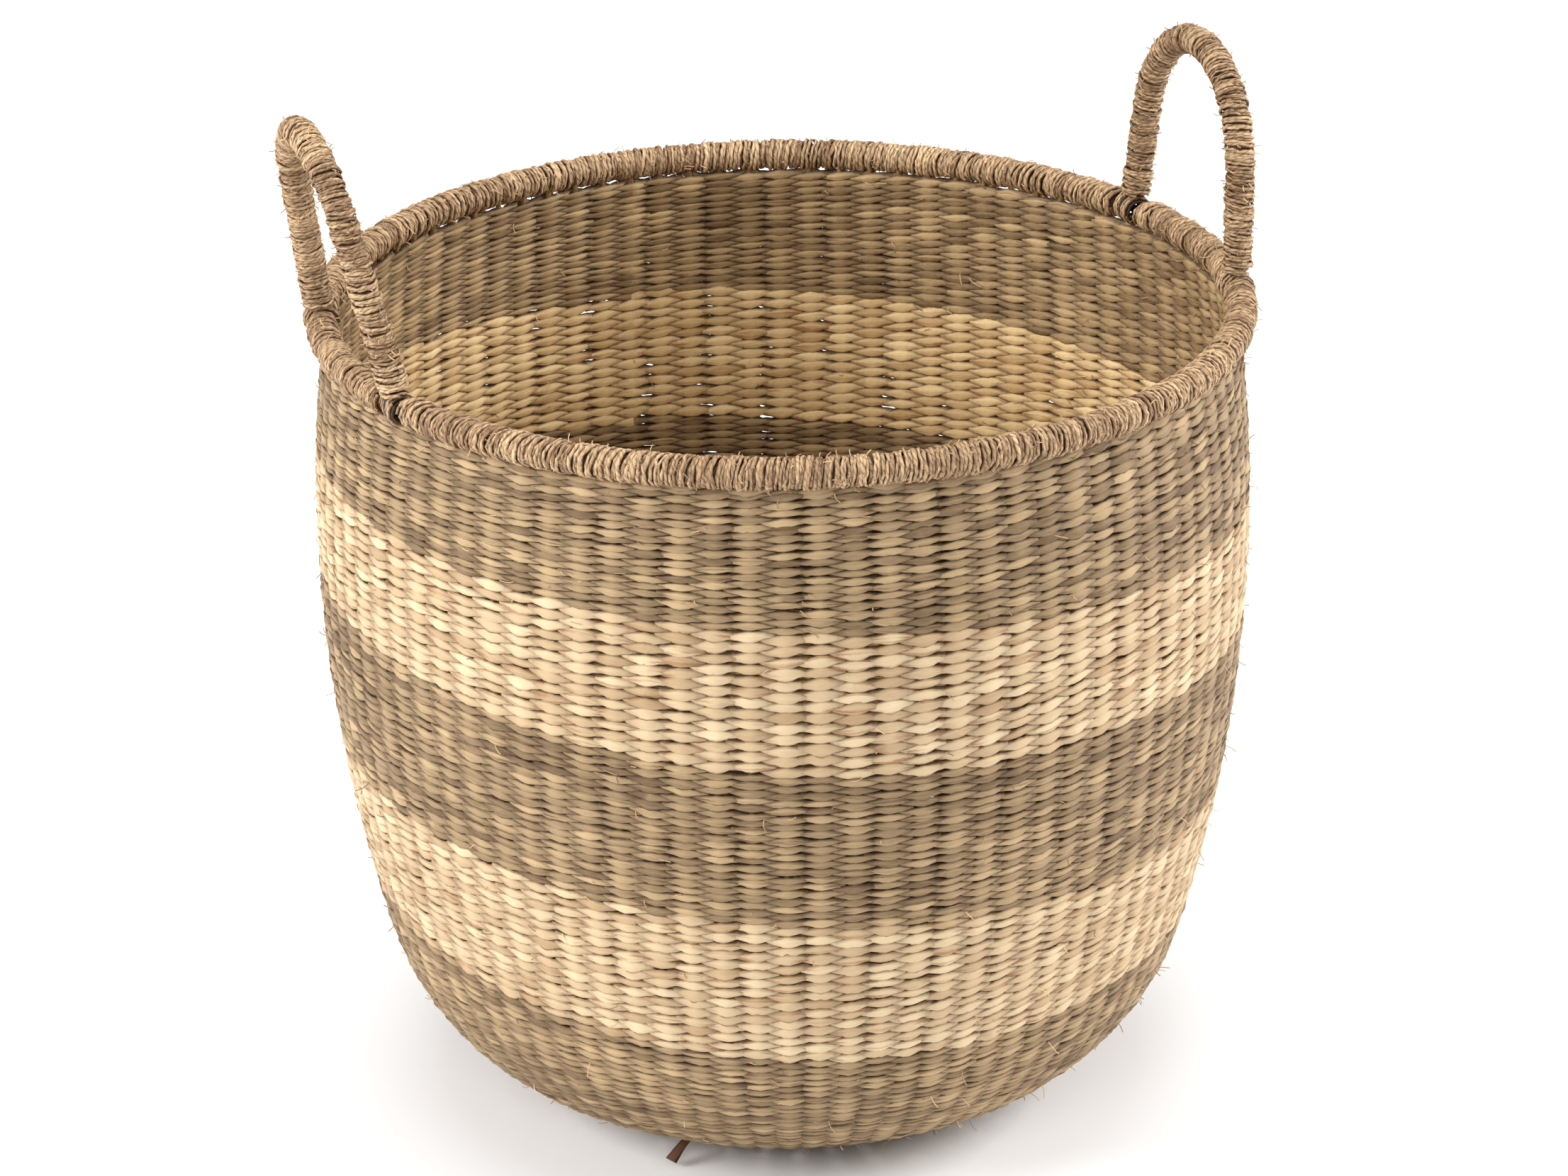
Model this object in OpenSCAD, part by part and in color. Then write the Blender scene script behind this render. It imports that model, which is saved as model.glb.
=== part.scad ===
// Round twined storage basket: a weft of seagrass strands twined round 88 stakes in five
// bands, a wrapped rim on a wire hoop, and two wrapped carry handles that rock on the hoop.

/* [Body] */
// Radius of the rim hoop's centreline
rim_r = 220; // [190:1:280]
// Height of the rim hoop's centreline above the floor
rim_h = 398; // [340:1:500]
// How far the wall's widest place stands outside the hoop's centreline
belly_bulge = 6; // [1:0.5:12]
// How far the wall's widest place lies below the hoop
belly_drop = 102; // [60:1:140]
// Radius of the wall's arc under its widest place
belly_arc = 780; // [600:10:1200]
// Radius of the arc between the wall and the flat base
corner_arc = 119; // [60:1:140]
// Thickness of the woven wall and base
wall_t = 6; // [4.5:0.1:9]

/* [Weft bands, from the rim down] */
// Height of the olive band under the rim
top_band_h = 66; // [40:1:90]
// Height of the upper cream band
upper_cream_h = 71; // [40:1:90]
// Height of the olive band between the cream ones
middle_band_h = 80; // [40:1:90]
// Height of the lower cream band
lower_cream_h = 78; // [40:1:90]
// Open slot between the rim's binding and the first row
rim_slot = 2.2; // [1:0.1:5]

/* [Stakes] */
// Number of stakes in the wall
stake_count = 88; // [72:8:96]
// Diameter of a stake
stake_d = 2.8; // [1.5:0.1:4]
// Radius at which the first quarter of the stakes starts
first_start_r = 12; // [11:0.5:16]
// Radius at which the second quarter is laid in
second_start_r = 30; // [26:1:40]
// Radius at which the other half is laid in
third_start_r = 62; // [50:1:70]

/* [Rim] */
// Diameter of the wire hoop
hoop_d = 4; // [3:0.5:6]
// Diameter of the fibre padding round the hoop
rim_padding_d = 10.4; // [9:0.1:13]
// Outer diameter of the rim's binding
rim_binding_d = 15.5; // [14:0.1:20]

/* [Handles] */
// Stakes between a handle's middle and its foot
foot_stakes = 4; // [3:1:5]
// Diameter of a handle's wire
handle_wire_d = 3; // [2:0.5:4]
// Diameter of the fibre padding round the wire
handle_padding_d = 9.8; // [8:0.1:12]
// Outer diameter of a handle's binding
handle_binding_d = 14.8; // [13:0.1:18]
// Width of the wire eye that hangs on the hoop
eye_w = 3; // [2:0.5:5]
// Wall of the binding outside the wire eye
eye_cover = 1; // [0.6:0.1:3]
// Play between a moving foot and what stays still
foot_gap = 0.4; // [0.3:0.1:1]
// Height of the right handle over the hoop
right_height = 104; // [80:1:140]
// Slope of the right handle's legs towards each other, in degrees
right_leg_slope = 7; // [0:1:18]
// Outward lean of the right handle at rest, in degrees
right_lean = 4; // [0:1:15]
// Height of the left handle over the hoop
left_height = 117; // [80:1:140]
// Slope of the left handle's legs towards each other, in degrees
left_leg_slope = 15; // [0:1:18]
// Outward lean of the left handle at rest, in degrees
left_lean = 11.5; // [0:1:15]

/* [Hidden] */

olive = [0.62, 0.52, 0.38];
cream = [0.88, 0.78, 0.60];
cord = [0.72, 0.58, 0.41];
stem = [0.78, 0.70, 0.55];
wire = [0.35, 0.33, 0.31];

round_fn = 180; // sides of a full turn about the basket's axis
arc_fn = 360; // sides of a full circle of the wall's long arcs
rod_fn = 24; // sides of a rod
eye_fn = 96; // sides of a foot's eye and collar
past = 1; // how far a cut reaches past what it cuts
lap = 0.5; // how far the parts of one rod reach into each other
swell = 0.05; // the part that takes in the next one is thicker by this, all round

// The wall's outer face is three arcs that run into each other: corner, belly and shoulder.
belly_r = rim_r + belly_bulge;
belly_h = rim_h - belly_drop;
belly_c = belly_r - belly_arc;
base_r = belly_c + sqrt(pow(belly_arc - corner_arc, 2) - pow(belly_h - corner_arc, 2));
corner_top = atan2(corner_arc - belly_h, base_r - belly_c); // angle where corner meets belly
rim_inset = 1.5; // the wall's outer face at the hoop's height stands this far inside the hoop
shoulder_in = belly_bulge + rim_inset;
shoulder_arc = (pow(belly_drop, 2) + pow(shoulder_in, 2)) / (2 * shoulder_in);
shoulder_c = belly_r - shoulder_arc;

// Heights of the bands' edges
wall_top = rim_h - rim_binding_d / 2 - rim_slot;
top_foot = wall_top - top_band_h;
upper_foot = top_foot - upper_cream_h;
middle_foot = upper_foot - middle_band_h;
lower_foot = middle_foot - lower_cream_h;

// Feet of the handles
stake_step = 360 / stake_count;
foot_angle = foot_stakes * stake_step;
foot_y = rim_r * sin(foot_angle);
hinge_x = rim_r * cos(foot_angle);
foot_half = handle_binding_d / 2 + 0.6; // half the length of a foot's collar along the hinge
hoop_swing = foot_half * tan(foot_angle) + hoop_d / 2 / cos(foot_angle);
eye_bore_r = hoop_swing + foot_gap / 2; // clear of the curved hoop over the collar's length
eye_r = eye_bore_r + handle_wire_d;
collar_r = eye_r + eye_cover;
rock_r = collar_r + foot_gap + foot_half * tan(foot_angle) / 2; // swept by the binding beside a foot
stake_rise = 1; // a stake ends this far under the hoop's centreline, inside the padding
stake_end_h = rim_h - stake_rise;
foot_stake_end_h = rim_h - collar_r - foot_gap; // but stop under a handle's foot

// A triangle from the centre that takes in everything between two angles up to its far side
module wedge(a0, a1, reach) {
    polygon([[0, 0], reach * [cos(a0), sin(a0)], reach * [cos(a1), sin(a1)]]);
}

// A ring's share between two angles
module arc_strip(centre, outer, a0, a1) {
    translate(centre) intersection() {
        difference() {
            circle(r = outer, $fn = arc_fn);
            circle(r = outer - wall_t, $fn = arc_fn);
        }
        wedge(a0, a1, outer / cos((a1 - a0) / 2) + past);
    }
}

module wall_section() {
    arc_strip([base_r, corner_arc], corner_arc, -90, corner_top);
    arc_strip([belly_c, belly_h], belly_arc, corner_top, 0);
    arc_strip([shoulder_c, belly_h], shoulder_arc, 0, asin(belly_drop / shoulder_arc));
}

module band(foot, top) {
    rotate_extrude($fn = round_fn) intersection() {
        wall_section();
        translate([base_r, foot]) square([belly_r, top - foot]);
    }
}

module weft_olive_bottom() { color(olive) band(0, lower_foot); }
module weft_cream_lower() { color(cream) band(lower_foot, middle_foot); }
module weft_olive_middle() { color(olive) band(middle_foot, upper_foot); }
module weft_cream_upper() { color(cream) band(upper_foot, top_foot); }
module weft_olive_top() { color(olive) band(top_foot, wall_top); }

module base_start() {
    color(olive) cylinder(r = first_start_r, h = wall_t, $fn = round_fn);
}

module base_weft() {
    color(olive) difference() {
        cylinder(r = base_r, h = wall_t, $fn = round_fn);
        translate([0, 0, -past]) cylinder(r = first_start_r, h = wall_t + 2 * past, $fn = round_fn);
    }
}

// Degrees of an arc of radius r that are as long as the lap
function lap_turn(r) = lap / r * 180 / PI;

// A rod of diameter d bent to an arc, in the plane of X and Z
module bent_rod(centre, arc, a0, a1, d) {
    translate([centre[0], 0, centre[1]]) rotate([90, 0, 0]) rotate([0, 0, a0])
        rotate_extrude(angle = a1 - a0, $fn = arc_fn)
            translate([arc, 0]) circle(d = d, $fn = rod_fn);
}

// One stake along the middle of the wall, from start_r on the base up to end_h
module stake(start_r, end_h) {
    mid = wall_t / 2;
    corner = corner_arc - mid;
    shoulder = shoulder_arc - mid;
    translate([start_r, 0, mid]) rotate([0, 90, 0])
        cylinder(d = stake_d + 2 * swell, h = base_r - start_r, $fn = rod_fn);
    bent_rod([base_r, corner_arc], corner, -90 - lap_turn(corner), corner_top + lap_turn(corner), stake_d);
    bent_rod([belly_c, belly_h], belly_arc - mid, corner_top, 0, stake_d + 2 * swell);
    bent_rod([shoulder_c, belly_h], shoulder,
        -lap_turn(shoulder), asin((end_h - belly_h) / shoulder), stake_d);
}

// Stakes under a handle's foot stop short of it
function is_foot(k) =
    k == foot_stakes || k == stake_count - foot_stakes
    || k == stake_count / 2 - foot_stakes || k == stake_count / 2 + foot_stakes;

module stake_set(first, every, start_r) {
    color(stem) for (k = [first : every : stake_count - 1])
        rotate([0, 0, k * stake_step]) stake(start_r, is_foot(k) ? foot_stake_end_h : stake_end_h);
}

module stakes_first() { stake_set(0, 4, first_start_r); }
module stakes_second() { stake_set(2, 4, second_start_r); }
module stakes_third() { stake_set(1, 2, third_start_r); }

module hoop_tube(d) {
    translate([0, 0, rim_h]) rotate_extrude($fn = round_fn)
        translate([rim_r, 0]) circle(d = d, $fn = rod_fn);
}

// The slots that the handles' feet stand in, square to the hinges and larger than the binding
module foot_slots() {
    deep = 2 * (collar_r + rim_binding_d);
    for (sx = [-1, 1]) for (sy = [-1, 1])
        translate([sx * hinge_x, sy * foot_y, rim_h])
            cube([deep, 2 * (foot_half + foot_gap), deep], center = true);
}

module rim_hoop() { color(wire) hoop_tube(hoop_d); }

module rim_padding() {
    color(stem) difference() {
        hoop_tube(rim_padding_d);
        hoop_tube(hoop_d);
        foot_slots();
    }
}

// A sector that holds the rim between two angles
module rim_sector(a0, a1) {
    steps = 8; // corners along the sector's edge
    step = (a1 - a0) / steps;
    reach = 2 * rim_r; // well outside the binding
    translate([0, 0, rim_h - rim_binding_d]) linear_extrude(2 * rim_binding_d)
        polygon(concat([[0, 0]], [for (i = [0 : steps]) reach * [cos(a0 + i * step), sin(a0 + i * step)]]));
}

module rim_binding(a0, a1) {
    color(cord) intersection() {
        difference() {
            hoop_tube(rim_binding_d);
            hoop_tube(rim_padding_d);
            foot_slots();
        }
        rim_sector(a0, a1);
    }
}

module rim_binding_right() { rim_binding(-foot_angle, foot_angle); }
module rim_binding_back() { rim_binding(foot_angle, 180 - foot_angle); }
module rim_binding_left() { rim_binding(180 - foot_angle, 180 + foot_angle); }
module rim_binding_front() { rim_binding(180 + foot_angle, 360 - foot_angle); }

// In a handle's own frame the hinge is the Y axis, Z is up and X points out of the basket.

// Radius of the arc over two legs that slope by a and reach height h
function bend_r(h, a) = (foot_y - h * tan(a)) / (1 / cos(a) - tan(a));

// A bar of diameter d bent to the handle's shape, from start up each leg
module handle_bar(d, h, a, start) {
    bend = bend_r(h, a);
    bend_h = h - bend;
    leg = (bend_h + bend * sin(a)) / cos(a);
    from = a - lap_turn(bend);
    for (s = [-1, 1]) translate([0, s * foot_y, 0]) rotate([s * a, 0, 0])
        translate([0, 0, start]) cylinder(d = d + 2 * swell, h = leg - start, $fn = rod_fn);
    translate([0, 0, bend_h]) rotate([90, 0, 90]) rotate([0, 0, from])
        rotate_extrude(angle = 180 - 2 * from, $fn = round_fn)
            translate([bend, 0]) circle(d = d, $fn = rod_fn);
}

// A short cylinder along the hinge, at both feet
module at_feet(r, length) {
    for (s = [-1, 1]) translate([0, s * foot_y, 0]) rotate([90, 0, 0])
        cylinder(r = r, h = length, center = true, $fn = eye_fn);
}

// The space beside each foot that the rim's binding needs as the handle rocks
module beside_feet() {
    side = foot_y - foot_half; // up to the handle's middle
    for (s = [-1, 1]) for (t = [-1, 1])
        translate([0, s * foot_y + t * (foot_half + side / 2), 0]) rotate([90, 0, 0])
            cylinder(r = rock_r, h = side, center = true, $fn = eye_fn);
}

module on_rim(side, lean) {
    rotate([0, 0, side > 0 ? 0 : 180]) translate([hinge_x, 0, rim_h]) rotate([0, lean, 0]) children();
}

module handle_wire(h, a) {
    color(wire) difference() {
        union() {
            handle_bar(handle_wire_d, h, a, eye_bore_r + handle_wire_d / 2);
            at_feet(eye_r, eye_w);
        }
        at_feet(eye_bore_r, 2 * foot_half);
    }
}

module handle_padding(h, a) {
    color(stem) difference() {
        handle_bar(handle_padding_d, h, a, collar_r);
        handle_bar(handle_wire_d, h, a, 0);
    }
}

module handle_binding(h, a) {
    color(cord) difference() {
        union() {
            difference() {
                handle_bar(handle_binding_d, h, a, 0);
                beside_feet();
            }
            at_feet(collar_r, 2 * foot_half);
        }
        handle_bar(handle_padding_d, h, a, collar_r);
        handle_bar(handle_wire_d, h, a, 0);
        at_feet(eye_r, eye_w);
        at_feet(eye_bore_r, 4 * foot_half);
    }
}

module handle_wire_right() { on_rim(1, right_lean) handle_wire(right_height, right_leg_slope); }
module handle_padding_right() { on_rim(1, right_lean) handle_padding(right_height, right_leg_slope); }
module handle_binding_right() { on_rim(1, right_lean) handle_binding(right_height, right_leg_slope); }
module handle_wire_left() { on_rim(-1, left_lean) handle_wire(left_height, left_leg_slope); }
module handle_padding_left() { on_rim(-1, left_lean) handle_padding(left_height, left_leg_slope); }
module handle_binding_left() { on_rim(-1, left_lean) handle_binding(left_height, left_leg_slope); }

base_start();
base_weft();
weft_olive_bottom();
weft_cream_lower();
weft_olive_middle();
weft_cream_upper();
weft_olive_top();
stakes_first();
stakes_second();
stakes_third();
rim_hoop();
rim_padding();
rim_binding_front();
rim_binding_right();
rim_binding_back();
rim_binding_left();
handle_wire_right();
handle_padding_right();
handle_binding_right();
handle_wire_left();
handle_padding_left();
handle_binding_left();
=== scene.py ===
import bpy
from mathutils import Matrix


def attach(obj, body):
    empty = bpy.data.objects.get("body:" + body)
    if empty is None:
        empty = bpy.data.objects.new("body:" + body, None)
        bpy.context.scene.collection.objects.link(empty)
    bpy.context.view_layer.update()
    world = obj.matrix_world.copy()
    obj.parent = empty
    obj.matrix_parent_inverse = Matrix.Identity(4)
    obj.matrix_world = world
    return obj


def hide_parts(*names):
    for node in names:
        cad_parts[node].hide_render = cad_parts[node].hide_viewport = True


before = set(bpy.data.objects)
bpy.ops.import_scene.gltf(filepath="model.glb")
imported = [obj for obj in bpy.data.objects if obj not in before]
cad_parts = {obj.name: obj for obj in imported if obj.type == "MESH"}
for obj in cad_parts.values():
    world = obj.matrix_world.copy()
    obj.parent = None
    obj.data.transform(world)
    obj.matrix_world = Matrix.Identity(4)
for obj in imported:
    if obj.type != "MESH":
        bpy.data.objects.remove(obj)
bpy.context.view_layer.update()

import math
import bpy
from mathutils import Quaternion, Vector

scene = bpy.context.scene
turn = 2 * math.pi
print("frame loaded:", len(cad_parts), "nodes")


# Helpers for node trees.

def unwrap(value):
    return value.socket if isinstance(value, Field) else value


def place(tree, kind, values=None, **settings):
    # one node, with its settings and the values or links of its inputs
    node = tree.nodes.new(kind)
    for key, value in settings.items():
        setattr(node, key, value)
    for key, value in (values or {}).items():
        value = unwrap(value)
        socket = node.inputs[key]
        if isinstance(value, bpy.types.NodeSocket):
            tree.links.new(value, socket)
        elif value is not None:
            socket.default_value = value
    return node


class Field:
    # a value in a node tree that can be used in a formula
    def __init__(self, tree, socket):
        self.tree, self.socket = tree, socket

    def math(self, operation, other=None):
        node = place(self.tree, "ShaderNodeMath", {0: self, 1: other}, operation=operation)
        return Field(self.tree, node.outputs[0])

    def vector(self, operation, other=None, scale=None):
        values = {0: self, 1: other}
        if scale is not None:
            values["Scale"] = scale
        node = place(self.tree, "ShaderNodeVectorMath", values, operation=operation)
        return Field(self.tree, node.outputs["Value" if operation in ("DOT_PRODUCT", "LENGTH") else "Vector"])

    def __add__(self, other):
        return self.math("ADD", other)

    def __sub__(self, other):
        return self.math("SUBTRACT", other)

    def __mul__(self, other):
        return self.math("MULTIPLY", other)

    def __truediv__(self, other):
        return self.math("DIVIDE", other)

    def __pow__(self, other):
        return self.math("POWER", other)

    def __neg__(self):
        return self.math("MULTIPLY", -1.0)

    def sin(self):
        return self.math("SINE")

    def cos(self):
        return self.math("COSINE")

    def floor(self):
        return self.math("FLOOR")

    def size(self):
        return self.math("ABSOLUTE")

    def sign(self):
        return self.math("SIGN")

    def between(self, low, high, start=0.0, end=1.0, smooth=False):
        # start to end as the value goes from low to high, held outside
        kind = "SMOOTHSTEP" if smooth else "LINEAR"
        node = place(self.tree, "ShaderNodeMapRange",
                     {0: self, 1: low, 2: high, 3: start, 4: end}, interpolation_type=kind)
        return Field(self.tree, node.outputs[0])


def combine(tree, x=0.0, y=0.0, z=0.0):
    return Field(tree, place(tree, "ShaderNodeCombineXYZ", {0: x, 1: y, 2: z}).outputs[0])


def separate(field):
    node = place(field.tree, "ShaderNodeSeparateXYZ", {0: field})
    return [Field(field.tree, output) for output in node.outputs]


def noise(tree, position, scale, detail=1.0, roughness=0.5):
    node = place(tree, "ShaderNodeTexNoise",
                 {"Vector": position, "Scale": scale, "Detail": detail, "Roughness": roughness})
    return Field(tree, node.outputs[0])


def randomValue(tree, number, seed, low=0.0, high=1.0):
    # one value for each whole number
    node = place(tree, "FunctionNodeRandomValue", data_type="FLOAT")
    for socket in node.inputs:
        if socket.type == "VALUE" and socket.name == "Min":
            socket.default_value = low
        if socket.type == "VALUE" and socket.name == "Max":
            socket.default_value = high
    tree.links.new(unwrap(number), node.inputs["ID"])
    tree.links.new(unwrap(seed), node.inputs["Seed"])
    output = [socket for socket in node.outputs if socket.type == "VALUE"][0]
    return Field(tree, output)


def geometryTree(name, sockets):
    tree = bpy.data.node_groups.new(name, "GeometryNodeTree")
    for label, kind in sockets.items():
        tree.interface.new_socket(label, in_out="INPUT", socket_type="NodeSocket" + kind)
    tree.interface.new_socket("Geometry", in_out="OUTPUT", socket_type="NodeSocketGeometry")
    given = tree.nodes.new("NodeGroupInput")
    return tree, {label: Field(tree, given.outputs[label]) for label in sockets}


def index(tree):
    return Field(tree, tree.nodes.new("GeometryNodeInputIndex").outputs[0])


def pathPoints(tree, count):
    # a curve with that many points, to be moved by a formula
    line = place(tree, "GeometryNodeCurvePrimitiveLine")
    return place(tree, "GeometryNodeResampleCurve", {"Curve": line.outputs[0], "Count": count}).outputs[0]


def sampleLine(tree, line, length):
    # position and tangent of a drawn line at that length along it
    drawn = place(tree, "GeometryNodeObjectInfo", {"Object": line}, transform_space="ORIGINAL")
    node = place(tree, "GeometryNodeSampleCurve", {"Curves": drawn.outputs["Geometry"], "Length": length},
                 mode="LENGTH", use_all_curves=False)
    return [Field(tree, node.outputs[name]) for name in ("Position", "Tangent")]


def remember(tree, geometry, name, value):
    # the value under a name, for the material to read
    node = place(tree, "GeometryNodeStoreNamedAttribute",
                 {"Geometry": geometry, "Name": name, "Value": value}, data_type="FLOAT", domain="POINT")
    return node.outputs[0]


def capture(tree, geometry, value, kind="FLOAT"):
    # the value as it is here, to be read further down the tree
    node = tree.nodes.new("GeometryNodeCaptureAttribute")
    node.capture_items.new("VECTOR" if kind == "FLOAT_VECTOR" else "FLOAT", "Value")
    tree.links.new(geometry, node.inputs[0])
    tree.links.new(unwrap(value), node.inputs[1])
    return node.outputs[0], Field(tree, node.outputs[1])


def ribbon(tree, curve, facing, width, thickness, tone, backWidth=None, backTone=None, core=1.0, crown=1.0):
    # a flattened strand of six sides along the curve: facing is across its thin way, its back can be
    # of another width and tone, core widens its middle and crown its front and back faces. The mark
    # "inside" is 1 on its back, which on the wall faces into the basket.
    profileRadius = 0.001
    tangent = Field(tree, tree.nodes.new("GeometryNodeInputTangent").outputs[0])
    facing = Field(tree, unwrap(facing))
    along = tangent.vector("SCALE", scale=facing.vector("DOT_PRODUCT", tangent))
    square = facing.vector("SUBTRACT", along).vector("NORMALIZE")
    spot = Field(tree, tree.nodes.new("GeometryNodeInputPosition").outputs[0])
    curve, centre = capture(tree, curve, spot, "FLOAT_VECTOR")
    curve, out = capture(tree, curve, square, "FLOAT_VECTOR")
    curve, beside = capture(tree, curve, tangent.vector("CROSS_PRODUCT", square), "FLOAT_VECTOR")
    curve, front = capture(tree, curve, width * 0.5)
    curve, back = capture(tree, curve, (backWidth or width) * 0.5)
    curve, deep = capture(tree, curve, thickness * 0.5)
    curve, core = capture(tree, curve, core) if isinstance(core, Field) else (curve, core)
    curve, frontTone = capture(tree, curve, tone)
    curve, backTone = capture(tree, curve, backTone or tone)
    circle = place(tree, "GeometryNodeCurvePrimitiveCircle",
                   {"Resolution": 6, "Radius": profileRadius}).outputs[0]
    wide, thin = separate(spot)[:2]
    circle, wide = capture(tree, circle, wide * (1.0 / profileRadius))
    circle, thin = capture(tree, circle, thin * (1.0 / profileRadius))
    circle = remember(tree, circle, "across", wide)
    mesh = place(tree, "GeometryNodeCurveToMesh",
                 {"Curve": curve, "Profile Curve": circle, "Fill Caps": True}).outputs[0]
    mesh = remember(tree, mesh, "tone", backTone + (frontTone - backTone) * thin.between(-0.1, 0.1))
    mesh = remember(tree, mesh, "inside", thin.between(-0.1, 0.1, 1.0, 0.0))
    half = back + (front - back) * (thin * 0.5 + 0.5)
    level = thin * thin / 0.75  # 0 on the middle corners, 1 on the others
    half = half * ((-level + 1.0) * core + level * crown)
    moved = centre.vector("ADD", beside.vector("SCALE", scale=wide * half)).vector(
        "ADD", out.vector("SCALE", scale=thin * deep))
    return place(tree, "GeometryNodeSetPosition", {"Geometry": mesh, "Position": moved}).outputs[0]


def finishTree(tree, geometry, material):
    real = place(tree, "GeometryNodeRealizeInstances", {"Geometry": geometry}).outputs[0]
    smooth = place(tree, "GeometryNodeSetShadeSmooth", {"Geometry": real, "Shade Smooth": True}).outputs[0]
    painted = place(tree, "GeometryNodeSetMaterial", {"Geometry": smooth, "Material": material}).outputs[0]
    out = tree.nodes.new("NodeGroupOutput")
    tree.links.new(painted, out.inputs[0])


def grow(name, tree, values):
    # runs the tree on an empty object and keeps the result as a plain mesh
    host = bpy.data.objects.new(name + "Host", bpy.data.meshes.new(name + "Host"))
    scene.collection.objects.link(host)
    modifier = host.modifiers.new("Nodes", "NODES")
    modifier.node_group = tree
    for item in tree.interface.items_tree:
        if item.in_out == "INPUT" and item.name in values:
            modifier[item.identifier] = values[item.name]
    depsgraph = bpy.context.evaluated_depsgraph_get()
    mesh = bpy.data.meshes.new_from_object(
        host.evaluated_get(depsgraph), preserve_all_data_layers=True, depsgraph=depsgraph)
    bpy.data.objects.remove(host)
    piece = bpy.data.objects.new(name, mesh)
    scene.collection.objects.link(piece)
    print("  ", name, len(mesh.polygons), "faces")
    return piece


def drawLine(name, points):
    # a curve through these points that the trees can sample
    data = bpy.data.curves.new(name, "CURVE")
    data.dimensions = "3D"
    spline = data.splines.new("POLY")
    spline.points.add(len(points) - 1)
    for slot, point in zip(spline.points, points):
        slot.co = (*point, 1.0)
    line = bpy.data.objects.new(name, data)
    scene.collection.objects.link(line)
    return line


# The wall's line: base, corner, belly and shoulder, through the middle of the weave.

wall = {
    "rimRadius": 0.220, "rimHeight": 0.398,
    "bellyBulge": 0.006, "bellyDrop": 0.102, "bellyArc": 0.780, "cornerArc": 0.119,
    "thickness": 0.006, "rimInset": 0.0015,
    "bands": [0.093, 0.171, 0.251, 0.322, 0.388],  # heights of the colour changes
    "stakes": 88,
    "lineStep": 0.001, "linePoints": 560,  # spacing and number of the points on the drawn line
}

middle = wall["thickness"] / 2
bellyRadius = wall["rimRadius"] + wall["bellyBulge"]
bellyHeight = wall["rimHeight"] - wall["bellyDrop"]
bellyCentre = bellyRadius - wall["bellyArc"]
cornerArc = wall["cornerArc"]
baseRadius = bellyCentre + math.sqrt((wall["bellyArc"] - cornerArc) ** 2 - (bellyHeight - cornerArc) ** 2)
cornerTop = math.atan2(cornerArc - bellyHeight, baseRadius - bellyCentre)
shoulderIn = wall["bellyBulge"] + wall["rimInset"]
shoulderArc = (wall["bellyDrop"] ** 2 + shoulderIn ** 2) / (2 * shoulderIn)
shoulderCentre = bellyRadius - shoulderArc
lineStart = 0.006  # radius at which the line starts on the base


def wallPoint(length):
    # radius and height on the middle line at that length from the line's start
    flat = baseRadius - lineStart
    if length < flat:
        return lineStart + length, middle
    length -= flat
    arcs = [(baseRadius, cornerArc, cornerArc - middle, -turn / 4, cornerTop),
            (bellyCentre, bellyHeight, wall["bellyArc"] - middle, cornerTop, 0.0),
            (shoulderCentre, bellyHeight, shoulderArc - middle, 0.0, 1.0)]
    for centreR, centreZ, radius, a0, a1 in arcs:
        if length <= radius * (a1 - a0) or a1 == 1.0:
            a = a0 + length / radius
            return centreR + radius * math.cos(a), centreZ + radius * math.sin(a)
        length -= radius * (a1 - a0)


def lengthAt(height):
    # the length at which the wall reaches that height, found by halving
    low, high = baseRadius - lineStart + 0.001, 0.8
    for halving in range(40):
        half = (low + high) / 2
        if wallPoint(half)[1] < height:
            low = half
        else:
            high = half
    return low


wallSteps = [wallPoint(i * wall["lineStep"]) for i in range(wall["linePoints"])]
wallLine = drawLine("wallLine", [(radius, 0.0, height) for radius, height in wallSteps])


# Colours and materials.

def shaderGroup(name, inputs, outputs):
    tree = bpy.data.node_groups.new(name, "ShaderNodeTree")
    for label, kind in inputs.items():
        tree.interface.new_socket(label, in_out="INPUT", socket_type="NodeSocket" + kind)
    for label, kind in outputs.items():
        tree.interface.new_socket(label, in_out="OUTPUT", socket_type="NodeSocket" + kind)
    given = tree.nodes.new("NodeGroupInput")
    out = tree.nodes.new("NodeGroupOutput")
    return tree, {label: Field(tree, given.outputs[label]) for label in inputs}, out


def named(tree, name):
    return Field(tree, place(tree, "ShaderNodeAttribute", attribute_name=name).outputs["Fac"])


def mixColour(tree, factor, first, second, blend="MIX"):
    node = place(tree, "ShaderNodeMix", data_type="RGBA", blend_type=blend)
    for label, value in (("Factor_Float", factor), ("A_Color", first), ("B_Color", second)):
        socket = [s for s in node.inputs if s.identifier == label][0]
        value = unwrap(value)
        if isinstance(value, bpy.types.NodeSocket):
            tree.links.new(value, socket)
        else:
            socket.default_value = value
    return Field(tree, [s for s in node.outputs if s.identifier == "Result_Color"][0])


def colour(red, green, blue):
    # screen values to linear light
    linear = [v / 12.92 if v <= 0.04045 else ((v + 0.055) / 1.055) ** 2.4 for v in (red, green, blue)]
    return (*linear, 1.0)


# Dry leaf: fine streaks along the strand, a tone for each stitch and slow patches over the object.
leafGrain = {
    # noise steps per metre along the strand, over half its width, and per tone
    "streak": (90.0, 2.2, 37.0), "thread": (40.0, 7.0, 53.0), "browned": (35.0, 1.2, 91.0),
    "drift": (70.0, 17.0), "patchScale": 16.0,
    # hollows of a twisted strand: per metre, slant over half its width, and how far they drift
    "hollow": (230.0, 0.42, 2.0),
    # the tint of painted bounce light for faces inside the basket, the span of the edges that are browned and
    # darkened as painted shade, and where browning starts and is full
    "paintedBounceTint": (1.33, 1.28, 1.08, 1.0), "edge": (0.45, 0.95), "brownFrom": 0.60, "brownTo": 0.80,
}

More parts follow.
